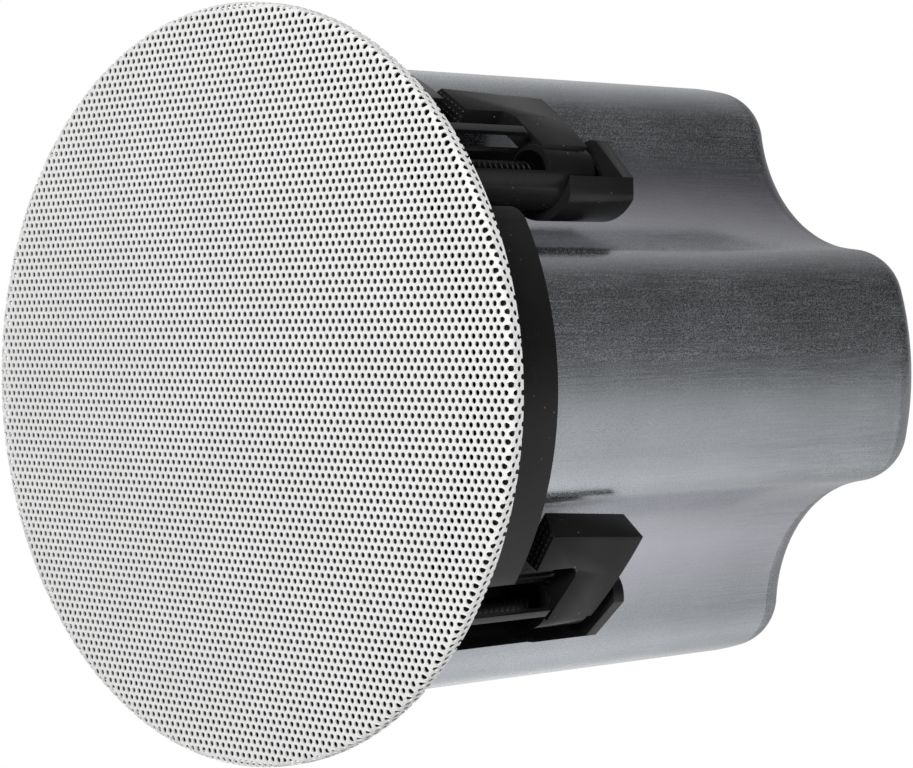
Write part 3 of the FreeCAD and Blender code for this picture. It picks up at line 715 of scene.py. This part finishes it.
def thread_helix(name, centre, settings):
    """A thread's ridge wound round a clamp screw's shank."""
    steps_per_turn = 24
    plain_shank = 12 * MM
    pitch = settings.thread_pitch
    crest = settings.thread_crest
    root = crest - 0.4 * pitch
    half_root = 0.42 * pitch
    half_crest = 0.06 * pitch
    low = SCREW_LOW.z + plain_shank
    high = SCREW_HIGH.z - pitch
    steps = int((high - low) / pitch * steps_per_turn)
    step = np.arange(steps + 1)
    angle = step * math.tau / steps_per_turn
    rise = low + step * pitch / steps_per_turn
    corners = ((root, -half_root), (crest, -half_crest), (crest, half_crest), (root, half_root))
    points = np.stack([
        np.stack([centre.x + r * np.cos(angle), centre.y + r * np.sin(angle), rise + z], axis=1)
        for r, z in corners], axis=1).reshape(-1, 3)
    sides = len(corners)
    faces = [tuple(range(sides)), tuple(steps * sides + k for k in reversed(range(sides)))]
    for k in range(steps):
        faces += ring_faces(k * sides, (k + 1) * sides, sides)
    return mesh_of(name, points, faces, 30)


def turned_axes(turn):
    """The two level directions along and square to a turn about the axis."""
    return Vector((math.cos(turn), math.sin(turn), 0)), Vector((-math.sin(turn), math.cos(turn), 0))


def slanted_tip(centre, turn, settings):
    """Moves a wing's inner rear edge down towards its tip."""
    across, along = turned_axes(turn)
    start = 12 * MM
    reach = 41 * MM
    rear = WING_HIGH.z - 9 * MM
    outer_side = 6 * MM

    def reshape(point):
        arm = point - centre
        run = -arm.dot(along)
        if point.z < rear or run < start or arm.dot(across) > outer_side:
            return point
        return point - Vector((0, 0, settings.slant * min(1.0, (run - start) / (reach - start))))

    return reshape


def trimmed_tower(centres, settings):
    """Draws in the free side of each tower's end plate and flattens the edge of its cage."""
    corner = math.sqrt(settings.cage ** 2 - settings.cage_face ** 2)
    near = 0.1 * MM

    def reshape(point):
        if point.z < settings.cage_low - near:
            return point
        for centre in centres:
            out, side = turned_axes(math.atan2(centre.y, centre.x))
            foot = Vector((centre.x, centre.y, point.z))
            arm = point - foot
            if arm.length > settings.cage + near:
                continue
            u, v = arm.dot(out), arm.dot(side)
            if v < 0 and point.z > settings.plate_low - near and arm.length > settings.plate:
                if abs(arm.length - settings.cage) < near:
                    return foot + arm * (settings.plate / arm.length)
            if abs(v - settings.cage_face) < near and u > corner / 2:
                u = corner
            spare = u * math.cos(settings.flat_turn) + v * math.sin(settings.flat_turn) - settings.flat
            if spare > 0:
                u -= spare * math.cos(settings.flat_turn)
                v -= spare * math.sin(settings.flat_turn)
                return foot + out * u + side * v
        return point

    return reshape


def grip_studs(name, turn, settings):
    """Rows of small blunt studs on the face of a clamp's pad."""
    near = 0.05 * MM
    stud_top = 0.2 * settings.stud
    stud_foot = 0.36 * settings.stud
    edge_gap = 0.6 * settings.stud
    across, along = turned_axes(turn)
    corners = [Vector(v.co) for v in NODES[name].data.vertices if v.co.z < WING_LOW.z + near]
    places = sorted((p.dot(across), p.dot(along)) for p in corners)
    inner, outer = places[0][0], places[-1][0]
    root = max(v for u, v in places)
    tips = [min(v for u, v in places if abs(u - side) < near) for side in (inner, outer)]
    rows = int((outer - inner) / settings.stud)
    shape = bmesh.new()
    for row in range(rows):
        u = (inner + outer) / 2 + (row - (rows - 1) / 2) * settings.stud
        tip = tips[0] + (tips[1] - tips[0]) * (u - inner) / (outer - inner)
        for column in range(int((root - tip) / settings.stud)):
            middle = across * u + along * (root - edge_gap - column * settings.stud)
            middle.z = WING_LOW.z - settings.stud_height / 2
            bmesh.ops.create_cone(
                shape, cap_ends=True, segments=10, radius1=stud_top, radius2=stud_foot,
                depth=settings.stud_height, matrix=Matrix.Translation(middle))
    return shaded(mesh_from(name + "_studs", shape), 35)


# Driver
def arc_points(start, top, end):
    """Points of the arc through three (radius, height) points."""
    count = 20
    (x1, y1), (x2, y2), (x3, y3) = start, top, end
    d = 2 * (x1 * (y2 - y3) + x2 * (y3 - y1) + x3 * (y1 - y2))
    s1, s2, s3 = x1**2 + y1**2, x2**2 + y2**2, x3**2 + y3**2
    cx = (s1 * (y2 - y3) + s2 * (y3 - y1) + s3 * (y1 - y2)) / d
    cy = (s1 * (x3 - x2) + s2 * (x1 - x3) + s3 * (x2 - x1)) / d
    radius = math.hypot(x1 - cx, y1 - cy)
    first, middle, last = (math.atan2(y - cy, x - cx) for x, y in (start, top, end))
    whole = (last - first) % math.tau
    if (middle - first) % math.tau > whole:
        whole -= math.tau
    turns = [first + whole * k / count for k in range(count + 1)]
    return [(cx + radius * math.cos(turn), cy + radius * math.sin(turn)) for turn in turns]


def surround_outline(settings):
    """Outer lip, half roll and inner lip, down the front and back along the rear."""
    outer_lip = 5 * MM
    inner_lip = 3.5 * MM
    thick = settings.roll
    seat = 0.0
    edge = SURROUND_HIGH.z
    outer = SURROUND_HIGH.x
    roll_out = outer - outer_lip
    roll_in = CONE_HIGH.x
    inner = roll_in - inner_lip
    middle = (roll_out + roll_in) / 2
    top = SURROUND_LOW.z
    front = arc_points((roll_out + thick, seat - thick), (middle, top), (roll_in - thick, edge - thick))
    rear = arc_points((roll_in, edge), (middle, top + thick), (roll_out, seat))
    return [(outer, seat), (outer, seat - thick), *front, (inner, edge - thick), (inner, edge), *rear]


def spider_outline(settings):
    """Corrugated cloth from its lip on the basket's shelf down to the voice coil."""
    thick = 0.5 * MM
    steps_per_wave = 12
    outer_lip = 5.5 * MM
    inner_lip = 2 * MM
    inner = 13.0 * MM
    top = SPIDER_HIGH.z - thick
    low = SPIDER_LOW.z
    outer = SPIDER_HIGH.x
    shelf = outer - outer_lip
    hub = inner + inner_lip
    front = [(outer, top), (shelf, top)]
    count = settings.waves * steps_per_wave
    for k in range(1, count):
        share = k / count
        wave = math.sin(math.tau * settings.waves * share) * math.sin(math.pi * share)
        height = top + (low - top) * share + settings.wave_height * wave
        front.append((shelf + (hub - shelf) * share, height))
    front += [(hub, low), (inner, low)]
    return front + [(r, z + thick) for r, z in reversed(front)]


# Stage
def area_lamp(name, place, at, size, power):
    lamp = bpy.data.lights.new(name, "AREA")
    lamp.shape = "DISK"
    lamp.size = size
    lamp.energy = power
    thing = new_object(name, lamp)
    thing.location = place
    thing.rotation_euler = (at - place).to_track_quat("-Z", "Y").to_euler()


def photo_camera():
    camera = bpy.data.cameras.new("photo_view")
    camera.sensor_fit = "HORIZONTAL"
    camera.sensor_width = SENSOR
    camera.lens = SENSOR * FOCAL_PIXELS / PHOTO_WIDTH
    thing = new_object("photo_view", camera)
    axes = Matrix((VIEW_RIGHT, VIEW_UP, VIEW_RIGHT.cross(VIEW_UP))).transposed()
    thing.matrix_world = Matrix.Translation(EYE) @ axes.to_4x4()
    bpy.context.scene.camera = thing


def white_world(ambient):
    """White to the camera and to reflections, and a soft light to everything else."""
    world = bpy.data.worlds.new("studio")
    bpy.context.scene.world = world
    shader = Shader(world)
    background = shader.add("ShaderNodeBackground", sockets={
        "Color": WHITE,
        "Strength": ambient + shader.seen() * (1 - ambient),
    })
    shader.add("ShaderNodeOutputWorld", sockets={"Surface": background})


def light_tent(radius):
    """A glowing dome unseen by the camera: dark on one side, bright on the other, dimmer at its top."""
    material, shader = new_material("tent_cloth")
    place = shader.place()
    side = shader.axis(place, "Y")
    turn = side.math("ARCTAN2", side, shader.axis(place, "X"))
    share = turn * (1 / math.tau) + 0.5
    level = shader.add("ShaderNodeValToRGB", {"stops": TENT_LEVELS}, {0: share})
    sine = shader.axis(place, "Z") * (1 / radius)
    fall = shader.step(sine, *TENT_FADE) * (1 - TENT_TOP) + TENT_TOP
    shader.show(shader.glow(shader.mix(fall, BLACK, level), TENT_STRENGTH))
    shape = bmesh.new()
    bmesh.ops.create_uvsphere(shape, u_segments=64, v_segments=32, radius=radius)
    below = [v for v in shape.verts if v.co.z < -10 * MM]
    bmesh.ops.delete(shape, geom=below, context="VERTS")
    tent = dressed("light_tent", mesh_from("light_tent", shape), material)
    tent.location.z = (CAN_LOW.z + CAN_HIGH.z) / 2
    tent.visible_camera = False
    tent.visible_shadow = False


def pale_floor(drop, colour):
    """Plain pale floor under the ceiling, lifted towards white where it shows."""
    material, shader = new_material("floor_paint")
    cloud = shader.noise(shader.place(), 3, 3)
    paint = shader.add("ShaderNodeBsdfPrincipled", sockets={
        "Base Color": shader.mix(cloud, opaque(colour, 0.97), opaque(colour)),
        "Roughness": 0.6 + cloud * 0.1,
    })
    white = shader.glow(WHITE, 1.0)
    shader.show(shader.add("ShaderNodeMixShader", sockets={
        0: shader.seen() * FLOOR_WHITE,
        1: paint,
        2: white,
    }))
    shape = bmesh.new()
    bmesh.ops.create_grid(shape, x_segments=8, y_segments=8, size=FLOOR_REACH)
    floor = dressed("floor", mesh_from("floor", shape), material)
    floor.location.z = -drop


class SPEAKER_OT_stage(bpy.types.Operator):
    """Set up the camera, the studio light and the floor"""

    bl_idname = "speaker.stage"
    bl_label = "Stage"

    def execute(self, context):
        settings = context.scene.speaker.stage
        middle = (CAD_LOW + CAD_HIGH) / 2
        context.scene.view_settings.view_transform = "Standard"
        photo_camera()
        white_world(settings.ambient)
        light_tent(settings.tent)
        pale_floor(settings.floor_drop, context.scene.speaker.finish.floor)
        area_lamp("key", KEY_PLACE, middle, KEY_WIDTH, settings.key)
        area_lamp("glint", GLINT_PLACE, middle, GLINT_WIDTH, settings.glint)
        return {"FINISHED"}


class SPEAKER_OT_grille(bpy.types.Operator):
    """Punch the grille sheet, crown it and turn its edge back"""

    bl_idname = "speaker.grille"
    bl_label = "Grille"

    def execute(self, context):
        settings = context.scene.speaker.grille
        coat = powder_coat(context.scene.speaker.finish.grille)
        sheets = (("grille_field", ("grille",)), ("grille_rim", ("grille", "grille_edge")))
        for (name, replaced), (points, faces, depth) in zip(sheets, punched_pieces(settings)):
            mesh = mesh_of(name, points, faces, 40)
            values = mesh.attributes.new("depth", "FLOAT", "POINT").data
            values.foreach_set("value", depth.astype(np.float32))
            body_piece(name, mesh, BODY_OF["grille"], "white_grille", coat, *replaced)
        dress(plain("black_nickel", (0.02, 0.02, 0.021), 0.45, 1.0), "grille_magnets")
        return {"FINISHED"}


class SPEAKER_OT_scrim(bpy.types.Operator):
    """Stretch the scrim cloth behind the grille"""

    bl_idname = "speaker.scrim"
    bl_label = "Scrim"

    def execute(self, context):
        mesh = scrim_mesh(context.scene.speaker.grille)
        cloth = woven("scrim_weave", context.scene.speaker.finish.scrim, 0.5 * MM)
        piece = body_piece("scrim", mesh, BODY_OF["grille_cloth"], "scrim", cloth, "grille_cloth")
        return {"FINISHED"}


class SPEAKER_OT_clamps(bpy.types.Operator):
    """Round the clamp wings, stud their pads and cut the screws' threads"""

    bl_idname = "speaker.clamps"
    bl_label = "Clamps"

    def execute(self, context):
        settings = context.scene.speaker.clamps
        wing_finish = moulded("clamp_moulding", context.scene.speaker.finish.clamp, 0.24, 0.8, 0.1)
        oxide = plain("black_oxide", (0.011, 0.011, 0.0115), 0.45, 1.0)
        for k in range(1, CLAMPS + 1):
            wing = f"clamp_wing_{k}"
            screw = f"clamp_screw_{k}"
            centre = screw_centre(k)
            turn = math.atan2(centre.y, centre.x) + settings.lean
            moulding = softened(f"wing_{k}", wing, settings.edge, slanted_tip(centre, turn, settings))
            body_piece(f"wing_{k}", moulding, BODY_OF[wing], "clamp_black", wing_finish, wing)
            studs = grip_studs(wing, turn, settings)
            body_piece(f"wing_studs_{k}", studs, BODY_OF[wing], "clamp_black", wing_finish)
            thread = thread_helix(f"thread_{k}", centre, settings)
            body_piece(f"thread_{k}", thread, BODY_OF[screw], "screw_steel", oxide)
            dress(oxide, screw, f"clamp_nut_{k}")
        return {"FINISHED"}


class SPEAKER_OT_housing(bpy.types.Operator):
    """Finish the baffle, the can and their fixings"""

    bl_idname = "speaker.housing"
    bl_label = "Housing"

    def execute(self, context):
        finish = context.scene.speaker.finish
        clamps = context.scene.speaker.clamps
        moulding = moulded("baffle_moulding", finish.baffle, 0.28, 0.5)
        trim = trimmed_tower([screw_centre(k) for k in range(1, CLAMPS + 1)], clamps)
        baffle = softened("baffle_moulded", "baffle", clamps.edge, trim)
        body_piece("baffle_moulded", baffle, BODY_OF["baffle"], "baffle_black", moulding, "baffle")
        dress(drawn_sheet(finish.can), "back_can")
        foam = plain("gasket_foam", (0.03, 0.03, 0.032), 0.9, 0.0, 1400, 0.15 * MM)
        dress(foam, "can_gasket", "woofer_gasket")
        dress(plain("black_screw", (0.03, 0.03, 0.031), 0.35, 1.0), "can_screws", "woofer_screws")
        dress(plain("safety_steel", (0.6, 0.6, 0.59), 0.34, 1.0), "safety_eye")
        dress(moulded("cup_moulding", finish.baffle, 0.4, 0.3), "terminal_cup", "tap_switch")
        dress(plain("terminal_resin", (0.03, 0.2, 0.07), 0.45), "terminal_block")
        dress(plain("knob_resin", (0.7, 0.7, 0.68), 0.4), "tap_knob")
        return {"FINISHED"}


class SPEAKER_OT_driver(bpy.types.Operator):
    """Roll the surround, press the spider and finish the woofer and tweeter"""

    bl_idname = "speaker.driver"
    bl_label = "Driver"

    def execute(self, context):
        settings = context.scene.speaker.driver
        finish = context.scene.speaker.finish
        roll_height = 3.2 * MM
        soft_parts = (
            ("surround", "surround_roll", surround_outline(settings), "surround_rubber",
             plain("surround_skin", finish.rubber, 0.5, 0.0, 1200),
             SURROUND_HIGH.z - roll_height, SURROUND_HIGH.z - settings.roll),
            ("spider", "spider_waves", spider_outline(settings), "spider_cloth",
             woven("spider_weave", (0.42, 0.33, 0.16), 0.6 * MM),
             SPIDER_HIGH.z - settings.roll, SPIDER_LOW.z + settings.roll),
        )
        for node, name, outline, slot, material, start, end in soft_parts:
            piece = dressed(name, lathe(name, outline), material)
            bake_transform(piece)
            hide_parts(node)
        dress(pressed_pulp(finish.cone), "cone")
        dress(plain("dust_felt", (0.02, 0.02, 0.02), 0.9, 0.0, 1500, 0.1 * MM), "dust_ring")
        dress(wound_wire("coil_wire", (0.75, 0.36, 0.16), 0.3 * MM), "voice_coil", "inductor")
        paint = moulded("basket_paint", finish.baffle, 0.45, 0.2)
        dress(paint, "woofer_basket", "tweeter_housing", "tweeter_post")
        dress(plain("plated_steel", (0.6, 0.59, 0.56), 0.36, 1.0), "top_plate", "yoke")
        ferrite = plain("ferrite", (0.035, 0.034, 0.036), 0.6, 0.0, 1100, 0.06 * MM)
        dress(ferrite, "woofer_magnet", "tweeter_magnet")
        dress(woven("dome_silk", (0.05, 0.05, 0.055), 0.25 * MM, 0.7), "tweeter_dome")
        return {"FINISHED"}


class SPEAKER_OT_electrics(bpy.types.Operator):
    """Finish the crossover, the transformer and the wadding inside the can"""

    bl_idname = "speaker.electrics"
    bl_label = "Electrics"

    def execute(self, context):
        dress(plain("board_resin", (0.03, 0.14, 0.06), 0.4), "crossover_board")
        dress(plain("capacitor_sleeve", (0.02, 0.03, 0.08), 0.35), "capacitors")
        dress(plain("bracket_steel", (0.6, 0.6, 0.58), 0.35, 1.0), "transformer_bracket")
        dress(wound_wire("core_stack", (0.3, 0.3, 0.31), 0.5 * MM), "transformer_core")
        dress(plain("bobbin_tape", (0.72, 0.5, 0.08), 0.5), "transformer_bobbin")
        dress(plain("wadding", (0.55, 0.54, 0.5), 0.95, 0.0, 420, 0.8 * MM), "damping_pad")
        return {"FINISHED"}


STEPS = (
    SPEAKER_OT_stage, SPEAKER_OT_grille, SPEAKER_OT_scrim, SPEAKER_OT_clamps,
    SPEAKER_OT_housing, SPEAKER_OT_driver, SPEAKER_OT_electrics,
)


class SPEAKER_PT_panel(bpy.types.Panel):
    """Lists the speaker's steps and settings"""

    bl_idname = "SPEAKER_PT_panel"
    bl_label = "Ceiling Speaker"
    bl_space_type = "VIEW_3D"
    bl_region_type = "UI"
    bl_category = "Speaker"

    def draw(self, context):
        for step in STEPS:
            self.layout.operator(step.bl_idname)
        speaker = context.scene.speaker
        for group in (speaker.grille, speaker.clamps, speaker.driver, speaker.finish, speaker.stage):
            box = self.layout.box()
            for name in group.__annotations__:
                box.prop(group, name)


CLASSES = (
    SpeakerGrilleSettings, SpeakerClampSettings, SpeakerDriverSettings, SpeakerFinishSettings,
    SpeakerStageSettings, SpeakerSettings, *STEPS, SPEAKER_PT_panel,
)


def register():
    for cls in CLASSES:
        bpy.utils.register_class(cls)
    bpy.types.Scene.speaker = PointerProperty(type=SpeakerSettings)


def unregister():
    del bpy.types.Scene.speaker
    for cls in reversed(CLASSES):
        bpy.utils.unregister_class(cls)


def main():
    register()
    bpy.ops.speaker.stage()
    bpy.ops.speaker.grille()
    bpy.ops.speaker.scrim()
    bpy.ops.speaker.clamps()
    bpy.ops.speaker.housing()
    bpy.ops.speaker.driver()
    bpy.ops.speaker.electrics()


if __name__ == "__main__":
    main()
